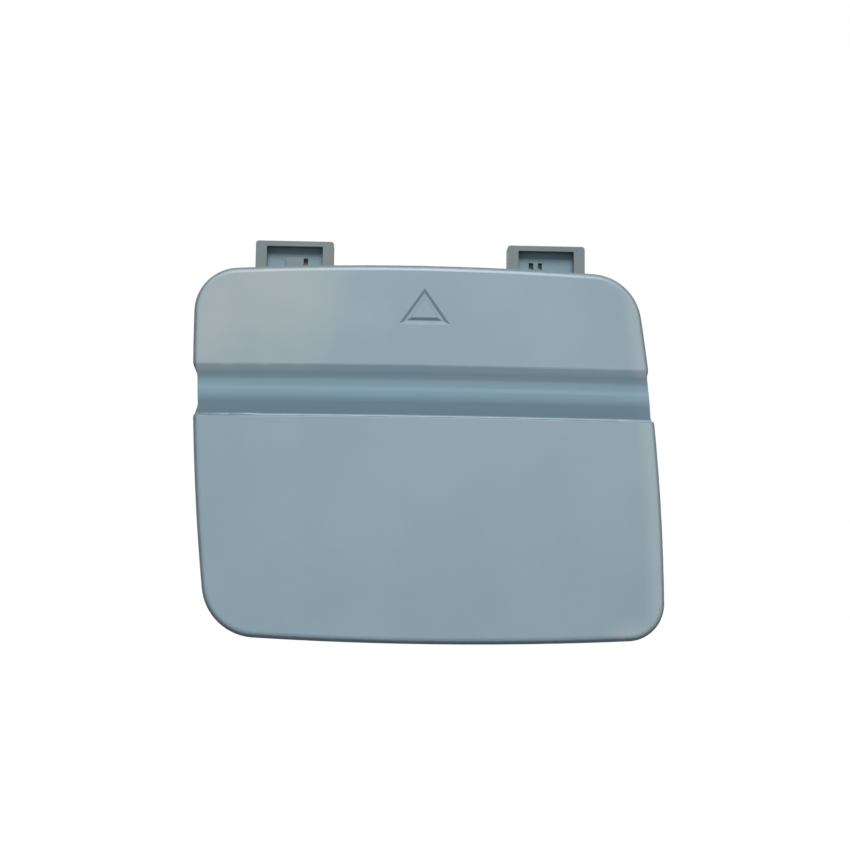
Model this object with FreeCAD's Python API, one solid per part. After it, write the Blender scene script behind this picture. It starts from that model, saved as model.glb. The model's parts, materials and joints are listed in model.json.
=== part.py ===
import FreeCAD, Part
import math
import os

# Bumper tow hook cover: one injection-moulded plate, painted on its outer face.
# Frame: X to the right seen from outside, Y into the bumper, Z up. Millimetres.
# The origin is the middle of the plate, in the plane where the two top hooks
# bear on the back of the bumper skin.

# Outline, seen from outside, between the theoretical corners of the four bowed sides
top_reach = 43.4
top_width = 80.9
bottom_width = 82.5
bottom_shift = 3.7
plate_height = 66.5
top_height = 33.3
top_bow = 1.1
right_bow = 1.4
bottom_bow = 1.3
left_bow = 1.3
top_left_radius = 8.0
top_right_radius = 9.3
bottom_right_radius = 6.8
bottom_left_radius = 9.9

# Section of the plate
crown_radius_across = 450.0
crown_radius_upright = 920.0
wall = 2.5
rim_depth = 5.5
rim_wall = 2.0
edge_roll = 1.2

# Styling band across the plate: a slope in to a level land, then a second slope
# in to a groove, which ends in a steep return to the face
band_drop = 17.6
upper_slope_height = 2.8
land_height = 2.8
lower_slope_height = 3.7
return_height = 0.2
land_depth = 1.1
groove_depth = 2.3
upper_lip_round = 1.5
land_round = 6.0
groove_round = 0.4
lower_lip_round = 0.25
left_notch = 0.8
right_notch = 0.4
notch_slope = 22.0
notch_round = 2.4

# Triangular up mark, sunk into the face between the hooks
mark_width = 7.0
mark_height = 5.0
mark_stroke = 1.3
mark_floor_stroke = 0.3
mark_depth = 0.35
mark_drop = 9.4
mark_offset = 0.5

# Seat in the bumper: the skin's thickness, its ledge and the running clearance
skin_gap = 2.6
ledge = 3.0
clearance = 0.4

# Top hooks
hook_width = 14.7
hook_inset_left = 10.4
hook_inset_right = 8.3
hook_rise = 7.2
hook_depth = 3.4
hook_floor = 1.8
hook_cheek = 2.1
hook_lip = 1.0
hook_arm = 2.4
hook_round = 0.6
gusset_wall = 1.4
gusset_height = 8.0
pad_rise = 0.7
pad_top_drop = 3.0
left_pad_width = 3.3
left_pad_offset = 0.0
right_pad_width = 0.9
right_pad_offset = -1.9
slot_width = 0.8
slot_depth = 1.0

# Snap latches below the hooks
latch_width = 9.0
latch_arm = 1.8
latch_bite = 1.5
latch_catch_angle = 45.0
latch_lead_angle = 24.0
latch_land = 0.5
latch_tip = 1.0
latch_rib_wall = 1.2
latch_rib_height = 4.0

# Locating walls at the two sides, and ribs on the back
locator_wall = 1.5
locator_length = 10.0
locator_drop = 4.0
locator_reach = 2.6
locator_lead = 0.8
rib_wall = 1.1
rib_height = 2.6
cross_rib_count = 2
cross_rib_pitch = 11.0
cross_rib_drop = 8.0

# Values worked out from the sizes above
REACH = 40.0
SWEEP = 24.0
OVERLAP = 0.6
FACE_SKIM = 0.01
top_left = (-top_reach, top_height)
top_right = (top_width - top_reach, top_height)
bottom_left = (bottom_shift - top_reach, top_height - plate_height)
bottom_right = (bottom_left[0] + bottom_width, bottom_left[1])
left_hook_x = top_left[0] + hook_inset_left + hook_width / 2
right_hook_x = top_right[0] - hook_inset_right - hook_width / 2
outer_hook_x = max(abs(left_hook_x), abs(right_hook_x)) + hook_width / 2
band_top = top_height - band_drop
land_top = band_top - upper_slope_height
land_low = land_top - land_height
groove_root = land_low - lower_slope_height
band_bottom = groove_root - return_height
hook_top = top_height + hook_rise


def upright_sag(z):
    return crown_radius_upright - math.sqrt(crown_radius_upright ** 2 - z ** 2)


def across_sag(x):
    return crown_radius_across - math.sqrt(crown_radius_across ** 2 - x ** 2)


# The plate stands so far forward that the skin fits between its rim and the hooks
edge_sag = across_sag(outer_hook_x) + upright_sag(top_height)
face_y = -(skin_gap + rim_depth + edge_sag)
across_centre = FreeCAD.Vector(0, face_y + crown_radius_across, 0)
upright_centre = FreeCAD.Vector(0, face_y + crown_radius_upright, 0)


def crown_point(z, depth):
    """Point of the middle section, at one height and one depth behind the outer face."""
    return FreeCAD.Vector(0, face_y + upright_sag(z) + depth, z)


def line(start, end):
    return Part.LineSegment(start, end).toShape()


def turned(edges, centre, axis):
    """Closed section turned a little way to both sides of its own plane."""
    face = Part.Face(Part.Wire(Part.__sortEdges__(edges)))
    face.rotate(centre, axis, -SWEEP / 2)
    return face.revolve(centre, axis, SWEEP)


def banded(edges):
    """Closed middle section turned about the upright axis, so that it follows the crown across."""
    return turned(edges, across_centre, FreeCAD.Vector(0, 0, 1))


def level_arc(depth):
    """Points of the crown's level section, at one depth behind the outer face."""
    radius = crown_radius_across - depth
    half_sweep = math.radians(SWEEP / 2)
    points = []
    for angle in (-half_sweep, 0, half_sweep):
        spoke = FreeCAD.Vector(math.sin(angle), -math.cos(angle), 0)
        points.append(across_centre + spoke * radius)
    return points


def crown_layer(front_depth, back_depth):
    """Crowned slab between two depths: its level section turned about the level axis."""
    front = level_arc(front_depth)
    back = level_arc(back_depth)
    edges = [Part.Arc(*front).toShape(), Part.Arc(*back).toShape()]
    edges.append(line(front[0], back[0]))
    edges.append(line(front[-1], back[-1]))
    return turned(edges, upright_centre, FreeCAD.Vector(1, 0, 0))


def box(x_low, x_high, y_low, y_high, z_low, z_high):
    corner = FreeCAD.Vector(x_low, y_low, z_low)
    return Part.makeBox(x_high - x_low, y_high - y_low, z_high - z_low, corner)


def rounded_path(points, radii):
    """Edges through the points, with an arc of its own radius at each inner point."""
    edges = []
    start = points[0]
    for before, corner, after, radius in zip(points, points[1:], points[2:], radii):
        back = before - corner
        ahead = after - corner
        half_turn = (math.pi - back.getAngle(ahead)) / 2
        room = 0.45 * min(back.Length, ahead.Length)
        setback = min(radius * math.tan(half_turn), room)
        arc_radius = setback / math.tan(half_turn)
        back.normalize()
        ahead.normalize()
        arc_start = corner + back * setback
        arc_end = corner + ahead * setback
        inward = back + ahead
        inward.normalize()
        bulge = arc_radius / math.cos(half_turn) - arc_radius
        edges.append(line(start, arc_start))
        edges.append(Part.Arc(arc_start, corner + inward * bulge, arc_end).toShape())
        start = arc_end
    edges.append(line(start, points[-1]))
    return edges


def side_disc(start, end, bow, inset):
    """Disc whose rim is one bowed side of the outline, from corner to corner clockwise.

    The seam of its round wall is turned to the far side, away from the outline.
    """
    first = FreeCAD.Vector(start[0], -REACH, start[1])
    last = FreeCAD.Vector(end[0], -REACH, end[1])
    along = last - first
    radius = (along.Length ** 2 / 4 + bow ** 2) / (2 * bow)
    outwards = FreeCAD.Vector(-along.z, 0, along.x)
    outwards.normalize()
    centre = (first + last) * 0.5 - outwards * (radius - bow)
    inwards = FreeCAD.Vector(0, 1, 0)
    disc = Part.makeCylinder(radius - inset, 2 * REACH, centre, inwards)
    disc.rotate(centre, inwards, math.degrees(math.atan2(-outwards.x, -outwards.z)))
    return disc


def upright_edges(prism):
    """Straight edges of a prism that run along Y."""
    found = []
    for edge in prism.Edges:
        first, last = edge.Vertexes[0].Point, edge.Vertexes[-1].Point
        if math.hypot(first.x - last.x, first.z - last.z) < 1e-6:
            found.append(edge)
    return found


def outline_block(inset=0):
    """Prism along Y of the outline, or of the outline moved inwards. Four discs share it."""
    corners = [top_left, top_right, bottom_right, bottom_left]
    bows = [top_bow, right_bow, bottom_bow, left_bow]
    radii = [top_left_radius, top_right_radius, bottom_right_radius, bottom_left_radius]
    discs = []
    for start, end, bow in zip(corners, corners[1:] + corners[:1], bows):
        discs.append(side_disc(start, end, bow, inset))
    block = discs[0]
    for disc in discs[1:]:
        block = block.common(disc)
    for (x, z), radius in zip(corners, radii):
        corner = FreeCAD.Vector(x, 0, z)
        edge = min(upright_edges(block), key=lambda e: corner_distance(e, corner))
        block = block.makeFillet(max(radius - inset, edge_roll), [edge])
    return block.Solids[0]


def corner_distance(edge, corner):
    place = edge.Vertexes[0].Point
    return math.hypot(place.x - corner.x, place.z - corner.z)


def side_x(block, z, right):
    """Where the outline's left or right side lies at one height."""
    ray = line(FreeCAD.Vector(-2 * REACH, 0, z), FreeCAD.Vector(2 * REACH, 0, z))
    crossing = block.common(ray).BoundBox
    return crossing.XMax if right else crossing.XMin


def notched(slab, block):
    """Slab with a shallow notch in both sides, where the band runs off."""
    turn = math.tan(math.radians(notch_slope) / 2)
    for right, notch in ((False, left_notch), (True, right_notch)):
        run = notch / math.tan(math.radians(notch_slope))
        ramp = notch / math.sin(math.radians(notch_slope))
        radius = min(notch_round, 0.45 * ramp / turn)
        sign = 1 if right else -1
        mouth_high = FreeCAD.Vector(side_x(block, band_top, right), -REACH, band_top)
        mouth_low = FreeCAD.Vector(side_x(block, band_bottom, right), -REACH, band_bottom)
        along = mouth_high - mouth_low
        along.normalize()
        outwards = FreeCAD.Vector(along.z, 0, -along.x) * sign
        high_ramp = outwards * notch + along * run
        low_ramp = outwards * notch - along * run
        beyond = REACH / run / 4
        corners = [
            mouth_high + high_ramp * beyond,
            mouth_high - high_ramp,
            mouth_low - low_ramp,
            mouth_low + low_ramp * beyond,
        ]
        tool = Part.Face(Part.makePolygon(corners + corners[:1]))
        slab = slab.cut(tool.extrude(FreeCAD.Vector(0, 2 * REACH, 0)))
        edges = []
        for edge in upright_edges(slab):
            place = edge.Vertexes[0].Point
            near_band = band_bottom - run < place.z < band_top + run
            if near_band and place.x * sign > 0:
                edges.append(edge)
        slab = slab.makeFillet(radius, edges)
    return slab


def face_edges(shape):
    """Edges that lie on the outer face's crown."""
    found = []
    for edge in shape.Edges:
        middle = edge.valueAt((edge.FirstParameter + edge.LastParameter) / 2)
        ends = [vertex.Point for vertex in edge.Vertexes]
        if all(abs(crown_depth(point)) < 1e-3 for point in ends + [middle]):
            found.append(edge)
    return found


def crown_depth(point):
    """Depth of a point behind the outer face. The point is first turned level."""
    level_y = upright_centre.y - math.hypot(point.z, upright_centre.y - point.y)
    return crown_radius_across - math.hypot(point.x, across_centre.y - level_y)


def rolled_plate():
    """Crowned slab of the outline, its outer edge rolled over."""
    block = outline_block()
    slab = notched(block.common(crown_layer(0, rim_depth)), block)
    return slab.makeFillet(edge_roll, face_edges(slab))


def band():
    """Tool for the band: two slopes with a level land between them, and the steep return."""
    heights_and_depths = [
        (band_top + upper_slope_height, -FACE_SKIM),
        (band_top, -FACE_SKIM),
        (land_top, land_depth),
        (land_low, land_depth),
        (groove_root, groove_depth),
        (band_bottom, -FACE_SKIM),
        (band_bottom - lower_slope_height, -FACE_SKIM),
    ]
    points = [crown_point(z, depth) for z, depth in heights_and_depths]
    radii = [upper_lip_round, land_round, land_round, groove_round, lower_lip_round]
    edges = rounded_path(points, radii)
    front_high = FreeCAD.Vector(0, points[0].y - wall, points[0].z)
    front_low = FreeCAD.Vector(0, points[-1].y - wall, points[-1].z)
    edges.append(line(points[-1], front_low))
    edges.append(line(front_low, front_high))
    edges.append(line(front_high, points[0]))
    return banded(edges)


def hollow():
    """Space inside the rim. It steps back behind the band, so that the wall stays even."""
    high = band_top + wall / 2
    middle = land_low + wall / 2
    low = band_bottom - wall / 2
    heights_and_depths = [
        (high + OVERLAP, wall - OVERLAP),
        (high - land_depth, wall + land_depth),
        (middle, wall + land_depth),
        (middle - abs(groove_depth - land_depth), wall + groove_depth),
        (low, wall + groove_depth),
        (low - groove_depth - OVERLAP, wall - OVERLAP),
    ]
    corners = [crown_point(z, depth) for z, depth in heights_and_depths]
    band_back = banded(Part.makePolygon(corners + corners[:1]).Edges)
    space = crown_layer(wall, REACH).cut(band_back)
    return space.common(outline_block(rim_wall))


def triangle(grow, depth):
    """Closed outline of the mark at height nought, its sides moved outwards by one distance."""
    middle_x = (left_hook_x + right_hook_x) / 2 + mark_offset
    base = -mark_height / 2
    y = face_y + depth
    lean = math.atan2(mark_height, mark_width / 2)
    half_width = mark_width / 2 + grow / math.tan(lean / 2)
    apex = mark_height + grow / math.cos(lean)
    corners = [
        FreeCAD.Vector(middle_x - half_width, y, base - grow),
        FreeCAD.Vector(middle_x, y, base + apex),
        FreeCAD.Vector(middle_x + half_width, y, base - grow),
    ]
    return Part.makePolygon(corners + corners[:1])


def mark():
    """Groove round a triangle, its walls drafted. It is made level and turned up the crown."""
    mouth = mark_stroke / 2
    root = mark_floor_stroke / 2
    outside = [triangle(mouth, -FACE_SKIM), triangle(root, mark_depth)]
    island = [triangle(-mouth, -FACE_SKIM), triangle(-root, mark_depth)]
    groove = Part.makeLoft(outside, True, True).cut(Part.makeLoft(island, True, True))
    middle_z = top_height - mark_drop + mark_height / 2
    climb = math.degrees(math.asin(middle_z / crown_radius_upright))
    groove.rotate(upright_centre, FreeCAD.Vector(1, 0, 0), -climb)
    return groove


def ribs():
    """Upright ribs from the hooks to the latches, and cross ribs below the band."""
    half = rib_wall / 2
    bars = []
    for x in (left_hook_x, (left_hook_x + right_hook_x) / 2, right_hook_x):
        bars.append(box(x - half, x + half, -REACH, REACH, -2 * REACH, 2 * REACH))
    for number in range(cross_rib_count):
        z = band_bottom - cross_rib_drop - number * cross_rib_pitch
        bars.append(box(-2 * REACH, 2 * REACH, -REACH, REACH, z - half, z + half))
    grid = bars[0].multiFuse(bars[1:])
    room = outline_block(rim_wall - OVERLAP)
    return grid.common(crown_layer(wall - OVERLAP, wall + rib_height)).common(room)


def hook(x, pad_width, pad_offset, slot_sides):
    """Arm through the opening, and a boxed tab that stands up behind the bumper skin.

    A pad stands in the tab's pocket, with a slot beside it on the given sides.
    """
    left = x - hook_width / 2
    right = x + hook_width / 2
    arm_top = top_height - ledge - clearance
    arm_low = arm_top - hook_arm
    tab = box(left, right, 0, hook_depth, arm_low, hook_top)
    tab = tab.makeFillet(hook_round, outer_tab_edges(tab))
    pocket_back = hook_depth - hook_floor
    pocket_left = left + hook_cheek
    pocket_right = right - hook_cheek
    pocket_top = hook_top - hook_lip
    tab = tab.cut(box(pocket_left, pocket_right, -REACH, pocket_back, arm_top, pocket_top))
    middle = x + pad_offset
    pad_left = middle - pad_width / 2
    pad_right = middle + pad_width / 2
    pad_front = pocket_back - pad_rise
    pad_top = hook_top - pad_top_drop
    pad = box(pad_left, pad_right, pad_front, hook_depth - hook_floor / 2, arm_low, pad_top)
    slot_back = pocket_back + slot_depth
    for side in slot_sides:
        slot_x = middle + side * (pad_width + slot_width) / 2
        slot_left = slot_x - slot_width / 2
        slot_right = slot_x + slot_width / 2
        tab = tab.cut(box(slot_left, slot_right, 0, slot_back, arm_top, pad_top))
    arm = box(left, right, face_y, hook_depth / 2, arm_low, arm_top)
    parts = [arm, pad]
    for gusset_left in (left, right - gusset_wall):
        parts.append(gusset(gusset_left, arm_low))
    return tab.multiFuse(parts)


def outer_tab_edges(tab):
    """The tab's two upright back edges and its three top edges that the rim never meets."""
    found = []
    for edge in tab.Edges:
        centre = edge.BoundBox.Center
        at_top = abs(centre.z - hook_top) < 1e-6
        at_back = abs(centre.y - hook_depth) < 1e-6
        upright = edge.BoundBox.ZLength > hook_rise
        if upright and at_back or at_top and edge.BoundBox.XLength < hook_width / 2:
            found.append(edge)
        elif at_top and at_back:
            found.append(edge)
    return found


def gusset(x, arm_low):
    """Triangular web under the hook's arm, from the back of the plate to the tab."""
    root_y = face_y + wall
    corners = [
        FreeCAD.Vector(x, face_y, arm_low + OVERLAP),
        FreeCAD.Vector(x, hook_depth - hook_floor, arm_low + OVERLAP),
        FreeCAD.Vector(x, hook_depth - hook_floor, arm_low),
        FreeCAD.Vector(x, root_y, arm_low - gusset_height),
        FreeCAD.Vector(x, face_y, arm_low - gusset_height),
    ]
    web = Part.Face(Part.makePolygon(corners + corners[:1]))
    return web.extrude(FreeCAD.Vector(gusset_wall, 0, 0))


def latch(x):
    """Cantilever arm with a barb that snaps behind the lower edge of the opening."""
    opening_z = bottom_left[1] + ledge
    under = opening_z + clearance
    over = under + latch_arm
    tooth = opening_z - latch_bite
    drop = under - tooth
    root_y = face_y
    catch_run = drop / math.tan(math.radians(latch_catch_angle))
    lead_run = (drop + latch_tip / 2) / math.tan(math.radians(latch_lead_angle))
    land_y = clearance + catch_run
    tip_y = land_y + latch_land + lead_run
    outline = [
        (root_y, under),
        (clearance, under),
        (land_y, tooth),
        (land_y + latch_land, tooth),
        (tip_y, under + latch_tip / 2),
        (tip_y, over),
        (root_y, over),
    ]
    corners = [FreeCAD.Vector(x - latch_width / 2, y, z) for y, z in outline]
    blade = Part.Face(Part.makePolygon(corners + corners[:1]))
    blade = blade.extrude(FreeCAD.Vector(latch_width, 0, 0))
    web_outline = [
        (root_y, over - OVERLAP),
        (root_y, over + latch_rib_height),
        (root_y + wall, over + latch_rib_height),
        (0, over),
        (0, over - OVERLAP),
    ]
    web_left = x - latch_rib_wall / 2
    corners = [FreeCAD.Vector(web_left, y, z) for y, z in web_outline]
    web = Part.Face(Part.makePolygon(corners + corners[:1]))
    return blade.fuse(web.extrude(FreeCAD.Vector(latch_rib_wall, 0, 0)))


def locators():
    """Short walls that follow the opening's sides and centre the cover in it."""
    inset = ledge + clearance
    high = band_bottom - locator_drop
    low = high - locator_length
    window = box(-2 * REACH, 2 * REACH, face_y, locator_reach, low, high)
    walls = outline_block(inset).cut(outline_block(inset + locator_wall)).common(window)
    tips = []
    for edge in walls.Edges:
        at_tip = abs(edge.BoundBox.YMin - locator_reach) < 1e-6
        if at_tip and edge.BoundBox.ZLength > locator_length / 2:
            tips.append(edge)
    return walls.makeChamfer(min(locator_lead, 0.4 * locator_wall), tips)


def cover():
    """The whole moulding. The band is cut last, so that no rib or web stands in it."""
    plate = rolled_plate().cut(hollow()).cut(mark())
    behind_face = crown_layer(wall / 2, REACH)
    fittings = [
        locators(),
        hook(left_hook_x, left_pad_width, left_pad_offset, [1]),
        hook(right_hook_x, right_pad_width, right_pad_offset, [-1, 1]),
        latch(left_hook_x),
        latch(right_hook_x),
    ]
    rooted = [fitting.common(behind_face) for fitting in fittings]
    whole = plate.multiFuse(rooted + [ribs()])
    return whole.cut(band()).removeSplitter()


def main():
    os.makedirs("parts", exist_ok=True)
    shape = cover()
    solid = shape.Solids[0]
    bounds = solid.optimalBoundingBox()
    print("solids", len(shape.Solids), "valid", shape.isValid(), "faces", len(solid.Faces))
    print("size", round(bounds.XLength, 2), round(bounds.YLength, 2), round(bounds.ZLength, 2))
    print("volume", round(solid.Volume, 1), "mm3")
    solid.exportStep("parts/tow_hook_cover.step")


main()
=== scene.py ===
# %% [markdown]
# # A painted cover for a bumper's tow eye
#
# The real object is one moulding. Its outer face is sprayed in a satin blue-grey, and its
# hooks and its back are left in the bare grey of the plastic, with a little stray paint.
# The shape is finished already, so this lesson is about light, camera and one layered
# material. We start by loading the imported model, which is the fixed frame, and clearing
# away the cube, lamp and camera that Blender starts with.

# %% Load the moulded part
import json
import math

import bmesh
import bpy
from mathutils import Matrix, Vector


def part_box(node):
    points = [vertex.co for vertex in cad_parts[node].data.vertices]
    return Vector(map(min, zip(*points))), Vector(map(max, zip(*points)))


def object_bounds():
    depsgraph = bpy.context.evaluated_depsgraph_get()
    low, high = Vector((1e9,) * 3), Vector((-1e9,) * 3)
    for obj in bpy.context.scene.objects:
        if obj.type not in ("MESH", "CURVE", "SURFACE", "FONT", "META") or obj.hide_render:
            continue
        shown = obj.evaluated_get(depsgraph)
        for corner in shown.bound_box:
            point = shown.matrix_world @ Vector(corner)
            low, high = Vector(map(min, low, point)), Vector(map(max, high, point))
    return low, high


MM = 0.001

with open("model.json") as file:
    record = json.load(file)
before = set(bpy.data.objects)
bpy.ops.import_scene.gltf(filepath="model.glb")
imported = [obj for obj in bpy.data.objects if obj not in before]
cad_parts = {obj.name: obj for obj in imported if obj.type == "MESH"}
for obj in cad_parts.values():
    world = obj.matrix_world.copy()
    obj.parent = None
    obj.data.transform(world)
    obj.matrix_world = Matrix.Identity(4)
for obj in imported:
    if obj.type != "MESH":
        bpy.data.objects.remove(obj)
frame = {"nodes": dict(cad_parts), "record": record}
cover = frame["nodes"]["tow_hook_cover"]
for name in ("Cube", "Light", "Camera"):
    if name in bpy.data.objects:
        bpy.data.objects.remove(bpy.data.objects[name])
cad_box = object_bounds()
cad_size = [round((high - low) / MM, 1) for low, high in zip(*cad_box)]
print("cover:", len(cover.data.polygons), "triangles, size in mm:", cad_size)

# %% [markdown]
# ## The camera
#
# The photo was taken from a little to the left and from below, looking up. Seen that way
# the dark underside shows along the bottom edge, and the level lines fall to the right.
# A Track To constraint would aim a camera too, but it always keeps it level. We go back
# from the target along the view direction instead, and build the three axes of the camera
# by hand, so that its slight roll is in them too.

# %% Place the camera
FACE_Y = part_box("tow_hook_cover")[0].y
TARGET = Vector((-1.1 * MM, FACE_Y, 4.75 * MM))
CAMERA_DISTANCE = 297.8 * MM
CAMERA_YAW = math.radians(2.1)
CAMERA_PITCH = math.radians(7.0)
CAMERA_ROLL = math.radians(0.68)
SENSOR_WIDTH = 36.0
FRAME_PIXELS = 850
FOCAL_PIXELS = 1650
NEAREST_SHOWN = 10 * MM

forward = Vector((
    math.sin(CAMERA_YAW) * math.cos(CAMERA_PITCH),
    math.cos(CAMERA_YAW) * math.cos(CAMERA_PITCH),
    math.sin(CAMERA_PITCH),
))
level_right = forward.cross(Vector((0, 0, 1))).normalized()
level_up = level_right.cross(forward)
right = level_right * math.cos(CAMERA_ROLL) + level_up * math.sin(CAMERA_ROLL)
up = level_up * math.cos(CAMERA_ROLL) - level_right * math.sin(CAMERA_ROLL)


def new_object(name, content):
    """Object of a camera, a mesh or a lamp, put into the scene."""
    made = bpy.data.objects.new(name, content)
    bpy.context.scene.collection.objects.link(made)
    return made


camera = new_object("camera", bpy.data.cameras.new("camera"))
camera.data.sensor_width = SENSOR_WIDTH
camera.data.lens = SENSOR_WIDTH * FOCAL_PIXELS / FRAME_PIXELS
camera.data.clip_start = NEAREST_SHOWN
turn = Matrix((right, up, -forward)).transposed().to_4x4()
camera.matrix_world = Matrix.Translation(TARGET - forward * CAMERA_DISTANCE) @ turn
bpy.context.scene.camera = camera
print("lens in mm:", round(camera.data.lens, 1))
print("camera in mm:", [round(part / MM, 1) for part in camera.location])

# %% [markdown]
# ## Floor, surroundings and light
#
# A plain studio: a wide pale floor below the part, pale surroundings, and one large soft
# key light. Lamps of several sizes would do too, but a single sun lamp with a wide angle
# gives the same soft shadow everywhere and needs no placing. The band is read by its
# shading, and that needs light from above: a slope that looks down turns dark, and a lip
# that looks up catches a highlight. The floor and the surroundings light the part as well,
# so to all but the camera they are darker than they look. A weaker fill light stands
# behind the part, so that its ribs and latches can be read when it is turned round.

# %% Lay the floor
FLOOR_Z = -120 * MM
FLOOR_RADIUS = 4.0
FLOOR_SIDES = 96

floor_shape = bmesh.new()
bmesh.ops.create_circle(floor_shape, cap_ends=True, segments=FLOOR_SIDES, radius=FLOOR_RADIUS,
                        matrix=Matrix.Translation((0, 0, FLOOR_Z)))
floor_mesh = bpy.data.meshes.new("floor")
floor_shape.to_mesh(floor_mesh)
floor_shape.free()
floor = new_object("floor", floor_mesh)
print("floor at z in mm:", round(FLOOR_Z / MM))

# %% Give the floor its two tones
FLOOR_SEEN = (0.95, 0.95, 0.95, 1)
FLOOR_BOUNCE = (0.26, 0.26, 0.26, 1)


def two_ways(tree, for_light, for_camera, output):
    """Let the camera see one shader, and all other rays another."""
    rays = tree.nodes.new("ShaderNodeLightPath")
    choice = tree.nodes.new("ShaderNodeMixShader")
    tree.links.new(rays.outputs["Is Camera Ray"], choice.inputs["Fac"])
    tree.links.new(for_light.outputs[0], choice.inputs[1])
    tree.links.new(for_camera.outputs[0], choice.inputs[2])
    tree.links.new(choice.outputs["Shader"], tree.nodes[output].inputs["Surface"])


floor_material = bpy.data.materials.new("pale_floor")
floor_material.use_nodes = True
floor_tree = floor_material.node_tree
floor_tree.nodes.remove(floor_tree.nodes["Principled BSDF"])
floor_seen = floor_tree.nodes.new("ShaderNodeBsdfDiffuse")
floor_seen.inputs["Color"].default_value = FLOOR_SEEN
floor_bounce = floor_tree.nodes.new("ShaderNodeBsdfDiffuse")
floor_bounce.inputs["Color"].default_value = FLOOR_BOUNCE
two_ways(floor_tree, floor_bounce, floor_seen, "Material Output")
floor_mesh.materials.append(floor_material)
print("floor sends back", FLOOR_BOUNCE[0], "of the light")

# %% Pale surroundings
SURROUND_LIGHT = 0.33
SURROUND_TINT = (0.93, 0.97, 1.0, 1)
SURROUND_SEEN = 1.0
WHITE = (1, 1, 1, 1)

world = bpy.data.worlds.new("surroundings")
world.use_nodes = True
bpy.context.scene.world = world
dim = world.node_tree.nodes["Background"]
dim.inputs["Color"].default_value = SURROUND_TINT
dim.inputs["Strength"].default_value = SURROUND_LIGHT
bright = world.node_tree.nodes.new("ShaderNodeBackground")
bright.inputs["Color"].default_value = WHITE
bright.inputs["Strength"].default_value = SURROUND_SEEN
two_ways(world.node_tree, dim, bright, "World Output")
bpy.context.scene.view_settings.view_transform = "Standard"
print("surroundings light with", SURROUND_LIGHT)

# %% Hang the lamps
KEY_STRENGTH = 3.35
KEY_SPREAD = math.radians(35)
KEY_FROM = Vector((0.02, -0.68, 0.78))
KEY_TINT = (1.0, 0.985, 0.96)

FILL_STRENGTH = 1.5
FILL_SPREAD = math.radians(60)
FILL_FROM = Vector((-0.45, 0.80, 0.40))
FILL_TINT = (1.0, 1.0, 1.0)


def hang_sun(name, comes_from, energy, spread, tint):
    """Sun lamp that shines from a direction. A wide spread makes its shadows soft."""
    lamp = bpy.data.lights.new(name, "SUN")
    lamp.energy = energy
    lamp.angle = spread
    lamp.color = tint
    holder = new_object(name, lamp)
    holder.rotation_euler = (-comes_from).to_track_quat("-Z", "Y").to_euler()
    rise = math.degrees(math.asin(comes_from.normalized().z))
    print(name, "stands", round(rise), "degrees up")


hang_sun("key_light", KEY_FROM, KEY_STRENGTH, KEY_SPREAD, KEY_TINT)
hang_sun("fill_light", FILL_FROM, FILL_STRENGTH, FILL_SPREAD, FILL_TINT)

# %% [markdown]
# ## Where a point lies on the cover
#
# On the real part the paint was sprayed on from the front. It covers the face and the band,
# wraps round the rolled edge and the rim, and ends at the rim's back. The mesh has no map
# that says so. Colours painted on its corners would be as coarse as its triangles, so the
# paint's place is worked out from Object coordinates. A first node group measures two
# things at any point: how deep it lies behind the crowned face, and how far it lies inside
# the outline. The crown is a shallow bowl, so its sag is close to a square: the distance
# squared over twice the radius. Each side of the outline is an arc of a very large circle,
# and the least distance to the four arcs is the inset.

# %% Start the place group
def new_group(name, inputs, outputs):
    """Shader node group with named sockets; returns it with its two end nodes."""
    group = bpy.data.node_groups.new(name, "ShaderNodeTree")
    for label, kind in inputs:
        group.interface.new_socket(name=label, in_out="INPUT", socket_type=kind)
    for label, kind in outputs:
        group.interface.new_socket(name=label, in_out="OUTPUT", socket_type=kind)
    return group, group.nodes.new("NodeGroupInput"), group.nodes.new("NodeGroupOutput")


place_group, place_in, place_out = new_group(
    "place_on_cover",
    [("Position", "NodeSocketVector")],
    [("Depth", "NodeSocketFloat"), ("Inset", "NodeSocketFloat")],
)
print("place group gives:", [socket.name for socket in place_out.inputs if socket.name])

# %% Helpers for sums and fades
def feed(tree, value, socket):
    """Plug a socket in, or set a plain number or colour."""
    if isinstance(value, bpy.types.NodeSocket):
        tree.links.new(value, socket)
    else:
        socket.default_value = value


def calc(tree, operation, first, second=0.0, third=None):
    """One Math node; its inputs are sockets or numbers."""
    node = tree.nodes.new("ShaderNodeMath")
    node.operation = operation
    feed(tree, first, node.inputs[0])
    feed(tree, second, node.inputs[1])
    if third is not None:
        feed(tree, third, node.inputs[2])
    return node.outputs[0]


def fade(tree, value, start, end, low=0.0, high=1.0):
    """Smooth change from low to high while the value goes from start to end."""
    node = tree.nodes.new("ShaderNodeMapRange")
    node.interpolation_type = "SMOOTHSTEP"
    feed(tree, value, node.inputs["Value"])
    node.inputs["From Min"].default_value = start
    node.inputs["From Max"].default_value = end
    node.inputs["To Min"].default_value = low
    node.inputs["To Max"].default_value = high
    return node.outputs["Result"]


def fade_out(tree, value, start, end):
    """Smooth change from 1 to 0 while the value goes from start to end."""
    return fade(tree, value, start, end, 1.0, 0.0)


def split(tree, vector):
    """The x, y and z of a vector."""
    node = tree.nodes.new("ShaderNodeSeparateXYZ")
    tree.links.new(vector, node.inputs[0])
    return node.outputs[0], node.outputs[1], node.outputs[2]


group_x, group_y, group_z = split(place_group, place_in.outputs["Position"])
print("place group so far:", len(place_group.nodes), "nodes")

# %% Measure the depth behind the face
CROWN_RADIUS_ACROSS = 450 * MM
CROWN_RADIUS_UPRIGHT = 920 * MM


def crown_sag(run, radius):
    """How far the crown has fallen back at this distance from the middle."""
    square = calc(place_group, "MULTIPLY", run, run)
    return calc(place_group, "MULTIPLY", square, 0.5 / radius)


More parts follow.
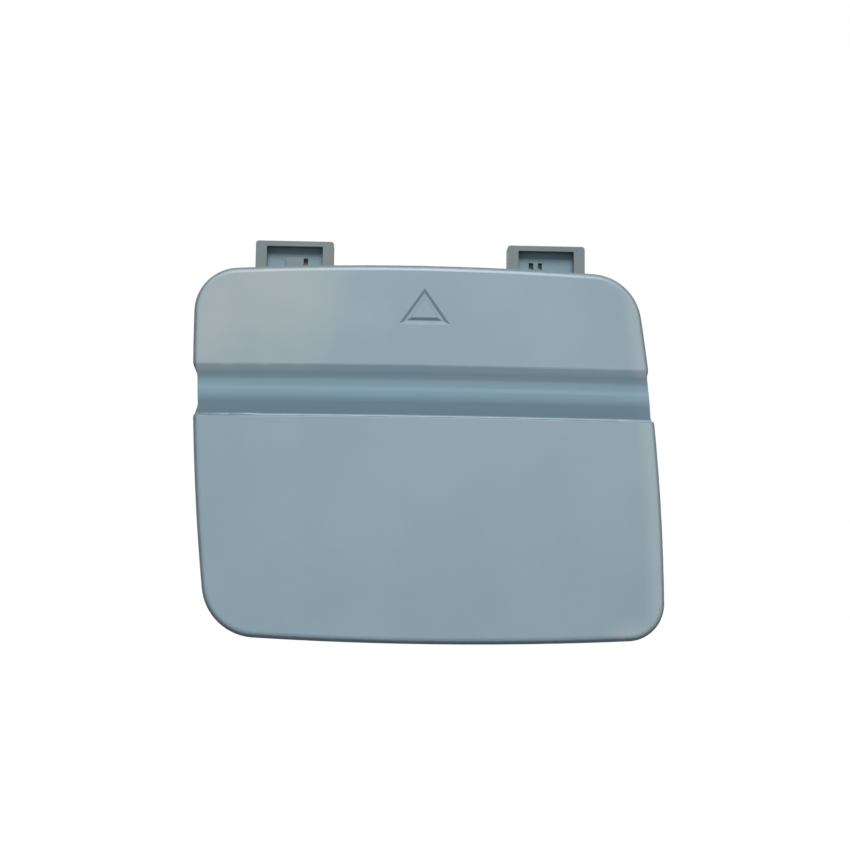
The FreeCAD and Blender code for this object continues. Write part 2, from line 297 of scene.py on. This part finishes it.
sag = calc(place_group, "ADD", crown_sag(group_x, CROWN_RADIUS_ACROSS),
           crown_sag(group_z, CROWN_RADIUS_UPRIGHT))
behind_crown = calc(place_group, "SUBTRACT", group_y, sag)
behind_face = calc(place_group, "SUBTRACT", behind_crown, FACE_Y)
place_group.links.new(behind_face, place_out.inputs["Depth"])
print("place group with the depth:", len(place_group.nodes), "nodes")

# %% Measure the inset from the outline
# Corners in mm where the sides would meet, clockwise from the top left, and each side's bow
CORNERS = [(-43.4, 33.3), (37.5, 33.3), (42.8, -33.2), (-39.7, -33.2)]
BOWS = [1.1, 1.4, 1.3, 1.3]


def inside_arc(centre, radius):
    """How far a point lies inside the arc that bounds one side."""
    run_x = calc(place_group, "SUBTRACT", group_x, centre.x)
    run_z = calc(place_group, "SUBTRACT", group_z, centre.y)
    square = calc(place_group, "ADD", calc(place_group, "MULTIPLY", run_x, run_x),
                  calc(place_group, "MULTIPLY", run_z, run_z))
    return calc(place_group, "SUBTRACT", radius, calc(place_group, "SQRT", square))


from_sides = []
for start, end, bow in zip(CORNERS, CORNERS[1:] + CORNERS[:1], BOWS):
    first = Vector(start) * MM
    last = Vector(end) * MM
    along = last - first
    rise = bow * MM
    radius = (along.length_squared / 4 + rise ** 2) / (2 * rise)
    away = Vector((-along.y, along.x)).normalized()
    centre = (first + last) / 2 - away * (radius - rise)
    from_sides.append(inside_arc(centre, radius))
    print("side", round(along.length / MM, 1), "mm long, radius", round(radius / MM), "mm")

from_outline = from_sides[0]
for from_side in from_sides[1:]:
    from_outline = calc(place_group, "MINIMUM", from_outline, from_side)
place_group.links.new(from_outline, place_out.inputs["Inset"])

# %% [markdown]
# ## Clouds, waves and specks
#
# Sprayed paint is never even. Seen from afar it has soft clouds in its tone, and seen
# closer it has the fine waves of an orange's peel. Moulded plastic has clouds and waves
# too, and small dark specks besides. Photographed textures could show all that, but they
# need a flat map of the surface and blur when one comes near. Noise on Object coordinates
# needs no map and has no seams. One node group makes the three patterns, and the material
# says how fine the waves are.

# %% Make the three patterns
CLOUD_SCALE = 38.0
CLOUD_DETAIL = 3.0
CLOUD_ROUGHNESS = 0.55
WAVE_DETAIL = 2.0
WAVE_ROUGHNESS = 0.5
SPECK_SCALE = 900.0
SPECK_RIM = (0.10, 0.22)


def noise(tree, vector, scale, detail, roughness):
    """Soft noise from 0 to 1; its scale is a socket or a number."""
    node = tree.nodes.new("ShaderNodeTexNoise")
    tree.links.new(vector, node.inputs["Vector"])
    feed(tree, scale, node.inputs["Scale"])
    node.inputs["Detail"].default_value = detail
    node.inputs["Roughness"].default_value = roughness
    return node.outputs["Fac"]


surface_group, surface_in, surface_out = new_group(
    "moulded_surface",
    [("Position", "NodeSocketVector"), ("Wave Scale", "NodeSocketFloat")],
    [("Clouds", "NodeSocketFloat"), ("Waves", "NodeSocketFloat"), ("Specks", "NodeSocketFloat")],
)
position = surface_in.outputs["Position"]
cloud_noise = noise(surface_group, position, CLOUD_SCALE, CLOUD_DETAIL, CLOUD_ROUGHNESS)
wave_noise = noise(surface_group, position, surface_in.outputs["Wave Scale"],
                   WAVE_DETAIL, WAVE_ROUGHNESS)
cells = surface_group.nodes.new("ShaderNodeTexVoronoi")
surface_group.links.new(position, cells.inputs["Vector"])
cells.inputs["Scale"].default_value = SPECK_SCALE
speck_dots = fade_out(surface_group, cells.outputs["Distance"], *SPECK_RIM)
surface_group.links.new(cloud_noise, surface_out.inputs["Clouds"])
surface_group.links.new(wave_noise, surface_out.inputs["Waves"])
surface_group.links.new(speck_dots, surface_out.inputs["Specks"])
print("surface group:", len(surface_group.nodes), "nodes")

# %% [markdown]
# ## One material for paint and plastic
#
# The whole cover is one mesh, painted in front and bare behind. Two materials, each on
# faces of its own, would end the paint in a line of triangles. So one Principled shader is
# both, and masks say where it is which. A mask is a number from 0, not there, to 1, fully
# there. The product of two masks holds where both hold, and the greater of the two holds
# where either does. The hooks caught some mist of the spray, and the slots of their pockets are
# painted paler, as painted light that lifts their shade, so they get masks of their own.

# %% Start the cover's material
WAVE_SCALE = 620.0

material = bpy.data.materials.new("satin_paint_on_plastic")
material.use_nodes = True
tree = material.node_tree
shader = tree.nodes["Principled BSDF"]
coordinates = tree.nodes.new("ShaderNodeTexCoord").outputs["Object"]
normal = tree.nodes.new("ShaderNodeNewGeometry").outputs["Normal"]
x, y, z = split(tree, coordinates)
normal_x, normal_y, normal_z = split(tree, normal)


def use_group(group):
    """The group as a node of the material, fed with the point's place."""
    node = tree.nodes.new("ShaderNodeGroup")
    node.node_tree = group
    tree.links.new(coordinates, node.inputs["Position"])
    return node


place = use_group(place_group)
depth = place.outputs["Depth"]
inset = place.outputs["Inset"]
surface = use_group(surface_group)
surface.inputs["Wave Scale"].default_value = WAVE_SCALE
clouds = surface.outputs["Clouds"]
waves = surface.outputs["Waves"]
specks = surface.outputs["Specks"]
print("one wave is about", round(1 / WAVE_SCALE / MM, 1), "mm long")

# %% Paint on the face, the band and the rim
# Each pair is where a soft change starts and where it ends. A normal's y is -1 where the
# surface looks to the front, 0 on a side and 1 on the back
AHEAD = (-0.55, -0.15)
SIDEWAYS = (4 * MM, 16 * MM)
NEAR_OUTLINE = (2.2 * MM, 4.2 * MM)
IN_FRONT_DEPTH = (2.3 * MM, 2.6 * MM)
NOT_BACKWARDS = (0.1, 0.5)
SPRAY_UNEVEN = 2.4 * MM
SPRAY_END = (5.8 * MM, 8.0 * MM)


def times(first, second):
    """Product of two sockets or numbers; of two masks, where both hold."""
    return calc(tree, "MULTIPLY", first, second)


def greater(first, second):
    """Greater of two masks, which holds where either does."""
    return calc(tree, "MAXIMUM", first, second)


# The rim's outer wall looks away from the middle and lies near the outline
outwards = calc(tree, "ADD", times(normal_x, x), times(normal_z, z))
side = times(fade(tree, outwards, *SIDEWAYS), fade_out(tree, inset, *NEAR_OUTLINE))
faces = greater(fade_out(tree, normal_y, *AHEAD), side)

# The band's walls look up, down or ahead, and all lie less deep than the plate's back
in_front = times(fade_out(tree, depth, *IN_FRONT_DEPTH),
                 fade_out(tree, normal_y, *NOT_BACKWARDS))
faces = greater(faces, in_front)

# The spray thins out near the back of the rim, where the clouds make its end uneven
uneven_depth = calc(tree, "MULTIPLY_ADD", clouds, SPRAY_UNEVEN, depth)
paint = times(faces, fade_out(tree, uneven_depth, *SPRAY_END))
print("the spray's end is uneven by up to", round(SPRAY_UNEVEN / MM, 1), "mm")

# %% Spray mist on the hooks, and painted light in their slots
# The hooks' fronts stand at y 0, and the floors of their pockets lie behind them
MIST_LOOKS = (-0.9, -0.3)
MIST_BEHIND = (0.6 * MM, 1.4 * MM)
MIST_SHARES = (0.15, 0.80)
POCKET_HALF_WIDTH = (5.0 * MM, 5.3 * MM)
SLOT_MOUTH = (1.65 * MM, 1.80 * MM)
SLOT_END = (2.7 * MM, 2.9 * MM)
SLOT_FOOT = (30.0 * MM, 31.0 * MM)
SLOT_HEAD = (37.2 * MM, 37.6 * MM)


def within(value, entry, leave):
    """Mask that rises over the entry's range and falls over the leave's."""
    return times(fade(tree, value, *entry), fade_out(tree, value, *leave))


mist_share = fade(tree, y, *MIST_BEHIND, *MIST_SHARES)
paint = greater(paint, times(fade_out(tree, normal_y, *MIST_LOOKS), mist_share))

mounts = frame["record"]["mounts"]
hooks_x = [mount["pos_m"][0] for mount in mounts if mount["name"].endswith("_hook")]
from_hooks = [calc(tree, "ABSOLUTE", calc(tree, "SUBTRACT", x, hook_x)) for hook_x in hooks_x]
nearest_hook = calc(tree, "MINIMUM", *from_hooks)
# The slots of the pockets are painted paler: painted light that lifts their shade
painted_slot_light = times(fade_out(tree, nearest_hook, *POCKET_HALF_WIDTH), within(y, SLOT_MOUTH, SLOT_END))
painted_slot_light = times(painted_slot_light, within(z, SLOT_FOOT, SLOT_HEAD))
print("hooks at x in mm:", [round(hook_x / MM, 2) for hook_x in hooks_x])

# %% [markdown]
# ## The tone of the paint
#
# The paint isn't one colour. Clouds shift it all over, and near the top left corner it is
# painted paler and warmer, as a painted reflection. In the recessed band it is given a bluer,
# darker tone. Edges that roll over, and slopes that look down, are darkened towards the dark
# plastic as painted shade. A strip inside the right side is painted paler as a painted
# highlight, and the rolled edges are rubbed a little. A separate shell for each would be much
# geometry for a film of paint. Here each is one Mix node, and a later one lies over the ones
# before it.

# %% Clouds and a painted warm reflection in a corner
PAINT_COLOUR = (0.243, 0.338, 0.405, 1)
PAINT_PALE = (0.300, 0.390, 0.432, 1)
PAINT_WARM_REFLECTION = (0.352, 0.405, 0.412, 1)
TONE_CLOUDS = (0.36, 0.66)
TONE_SHARE = 0.30
WARM_PLACE = (-34 * MM, FACE_Y, 24 * MM)
WARM_REACH = (6 * MM, 30 * MM)
WARM_SHARE = 0.75
WARM_CLOUDS = (0.30, 0.60)

# A Mix node has sockets for several kinds of value, and some share a name, so they are
# picked by number
MIX_SHARE = 0
MIX_NUMBERS = (2, 3)
MIX_NUMBER_OUT = 0
MIX_COLOURS = (6, 7)
MIX_COLOUR_OUT = 2


def mix_colour(share, first, second):
    """Mix node between two colours; each is a socket or a plain colour."""
    node = tree.nodes.new("ShaderNodeMix")
    node.data_type = "RGBA"
    feed(tree, share, node.inputs[MIX_SHARE])
    for value, number in zip((first, second), MIX_COLOURS):
        feed(tree, value, node.inputs[number])
    return node.outputs[MIX_COLOUR_OUT]


tone = fade(tree, clouds, *TONE_CLOUDS)
paint_colour = mix_colour(times(tone, TONE_SHARE), PAINT_COLOUR, PAINT_PALE)
# Near the top left corner the paint colour turns paler and warmer: a painted reflection
corner = tree.nodes.new("ShaderNodeVectorMath")
corner.operation = "DISTANCE"
tree.links.new(coordinates, corner.inputs[0])
corner.inputs[1].default_value = WARM_PLACE
warm = fade(tree, corner.outputs["Value"], *WARM_REACH, WARM_SHARE, 0.0)
warm = times(warm, fade(tree, clouds, *WARM_CLOUDS))
paint_colour = mix_colour(warm, paint_colour, PAINT_WARM_REFLECTION)
print("warm corner reaches", round(WARM_REACH[1] / MM), "mm")

# %% A bluer band, and painted shade on slopes and edges
PAINT_BAND_TONE = (0.190, 0.318, 0.405, 1)
PAINT_SHADE = (0.135, 0.190, 0.225, 1)
BAND_DEPTH = (0.1 * MM, 0.8 * MM)
BAND_TONE_SHARE = 0.75
LOOKS_DOWN = (-0.28, -0.12)
SLOPE_SHADE = 0.38
ROLLS_OVER = (-0.985, -0.75)
EDGE_SHADE = 0.95
MARK_BOTTOM = (18 * MM, 22 * MM)
MARK_INSET = (3 * MM, 5 * MM)
MARK_SHARE = 0.4

in_band = fade(tree, depth, *BAND_DEPTH)
# The recessed band is given a bluer, darker tone of paint
paint_colour = mix_colour(times(in_band, BAND_TONE_SHARE), paint_colour, PAINT_BAND_TONE)

# Slopes in the band that look down are darkened towards the dark plastic: painted shade
painted_shade_on_slopes = times(times(fade_out(tree, normal_z, *LOOKS_DOWN), in_band), SLOPE_SHADE)
# Edges that roll over are darkened, which also dims their highlights: painted shade
painted_shade_on_edges = times(fade(tree, normal_y, *ROLLS_OVER), EDGE_SHADE)

# The mark's edges lie close together, so they get less of the painted shade
on_mark = times(fade(tree, z, *MARK_BOTTOM), fade(tree, inset, *MARK_INSET))
painted_shade_on_edges = times(painted_shade_on_edges, fade(tree, on_mark, 0.0, 1.0, 1.0, MARK_SHARE))
shade_and_dry_spray = greater(painted_shade_on_slopes, painted_shade_on_edges)
paint_colour = mix_colour(shade_and_dry_spray, paint_colour, PAINT_SHADE)
# These shares are the strengths of the painted shade on slopes and on edges
print("thin share on slopes", SLOPE_SHADE, "and on edges", EDGE_SHADE)

# %% Painted highlight strip and rubbed edges
PAINT_WEAR_AND_HIGHLIGHT = (0.40, 0.43, 0.45, 1)
STRIP_INSET = (1.0 * MM, 4.2 * MM)
STRIP_X = (30 * MM, 37 * MM)
STRIP_IN_BAND = 0.2
TURNS_AWAY = (-0.97, -0.80)
STRIP_SHARES = (0.45, 0.15)
TURNED_ASIDE = (-0.45, -0.20)
RUB_WAVES = (0.45, 0.75)
RUB_SHARE = 0.12

# The strip is a painted highlight. It is weaker in the band and where the edge turns away
strip = times(fade_out(tree, inset, *STRIP_INSET), fade(tree, x, *STRIP_X))
strip = times(strip, fade(tree, in_band, 0.0, 1.0, 1.0, STRIP_IN_BAND))
painted_highlight_strip = times(strip, fade(tree, normal_y, *TURNS_AWAY, *STRIP_SHARES))
paint_colour = mix_colour(painted_highlight_strip, paint_colour, PAINT_WEAR_AND_HIGHLIGHT)

# The waves break the rubbing up into small worn spots
rub = times(within(normal_y, TURNS_AWAY, TURNED_ASIDE), fade(tree, waves, *RUB_WAVES))
paint_colour = mix_colour(times(rub, RUB_SHARE), paint_colour, PAINT_WEAR_AND_HIGHLIGHT)
print("rubbed edges take up to", RUB_SHARE, "of the worn colour")

# %% Bare plastic, then all colours together
BARE_COLOUR = (0.148, 0.168, 0.171, 1)
BARE_PALE = (0.190, 0.211, 0.214, 1)
BARE_SPECK = (0.110, 0.124, 0.127, 1)
SPECK_SHARE = 0.25
SLOT_LIGHT_COLOUR = (0.40, 0.45, 0.46, 1)

bare_colour = mix_colour(tone, BARE_COLOUR, BARE_PALE)
bare_colour = mix_colour(times(specks, SPECK_SHARE), bare_colour, BARE_SPECK)
colour = mix_colour(paint, bare_colour, paint_colour)
# Last, the painted light in the slots lies over all other colours
colour = mix_colour(painted_slot_light, colour, SLOT_LIGHT_COLOUR)
tree.links.new(colour, shader.inputs["Base Color"])
print("material so far:", len(tree.nodes), "nodes")

# %% [markdown]
# ## Gloss and relief
#
# The full coat is satin with a thin clear layer on it, and both thin dry spray and the bare
# plastic are dull. So roughness follows the same masks as the colour. A single roughness
# would make the hooks shine like the face. The relief has two parts. A Bevel node rounds
# the sharp moulded edges by a tenth of a millimetre, for shading only. The waves then go
# through a Bump node, because they are far too shallow to be worth any geometry.

# %% Gloss of the coat and of the plastic
GLOSS_CLOUDS = (0.3, 0.7)
PAINT_ROUGHNESS = (0.40, 0.48)
PLASTIC_ROUGHNESS = (0.52, 0.62)
THIN_ROUGHER = 0.35
COAT_WHERE_THIN = (0.0, 0.6)
COAT_SHARE = 0.14
COAT_ROUGHNESS = 0.22

satin = fade(tree, clouds, *GLOSS_CLOUDS, *PAINT_ROUGHNESS)
# The painted shade's mask also makes those places rougher, as dry spray is dull
satin = calc(tree, "MULTIPLY_ADD", shade_and_dry_spray, THIN_ROUGHER, satin)
dull = fade(tree, clouds, *GLOSS_CLOUDS, *PLASTIC_ROUGHNESS)
rough = tree.nodes.new("ShaderNodeMix")
feed(tree, paint, rough.inputs[MIX_SHARE])
for value, number in zip((dull, satin), MIX_NUMBERS):
    feed(tree, value, rough.inputs[number])
tree.links.new(rough.outputs[MIX_NUMBER_OUT], shader.inputs["Roughness"])
coat = times(paint, fade(tree, shade_and_dry_spray, *COAT_WHERE_THIN, COAT_SHARE, 0.0))
tree.links.new(coat, shader.inputs["Coat Weight"])
shader.inputs["Coat Roughness"].default_value = COAT_ROUGHNESS
print("roughness: paint", PAINT_ROUGHNESS, "plastic", PLASTIC_ROUGHNESS)

# %% Relief of edges and waves
EDGE_ROUNDING = 0.1 * MM
ROUNDING_SAMPLES = 4
WAVE_STRENGTH = 0.35
WAVE_HEIGHT = 0.03 * MM

rounded = tree.nodes.new("ShaderNodeBevel")
rounded.samples = ROUNDING_SAMPLES
rounded.inputs["Radius"].default_value = EDGE_ROUNDING
bump = tree.nodes.new("ShaderNodeBump")
bump.inputs["Strength"].default_value = WAVE_STRENGTH
bump.inputs["Distance"].default_value = WAVE_HEIGHT
tree.links.new(waves, bump.inputs["Height"])
tree.links.new(rounded.outputs["Normal"], bump.inputs["Normal"])
tree.links.new(bump.outputs["Normal"], shader.inputs["Normal"])

for holder in cover.material_slots:
    holder.material = material
print("material:", len(tree.nodes), "nodes, in", len(cover.material_slots), "slot")
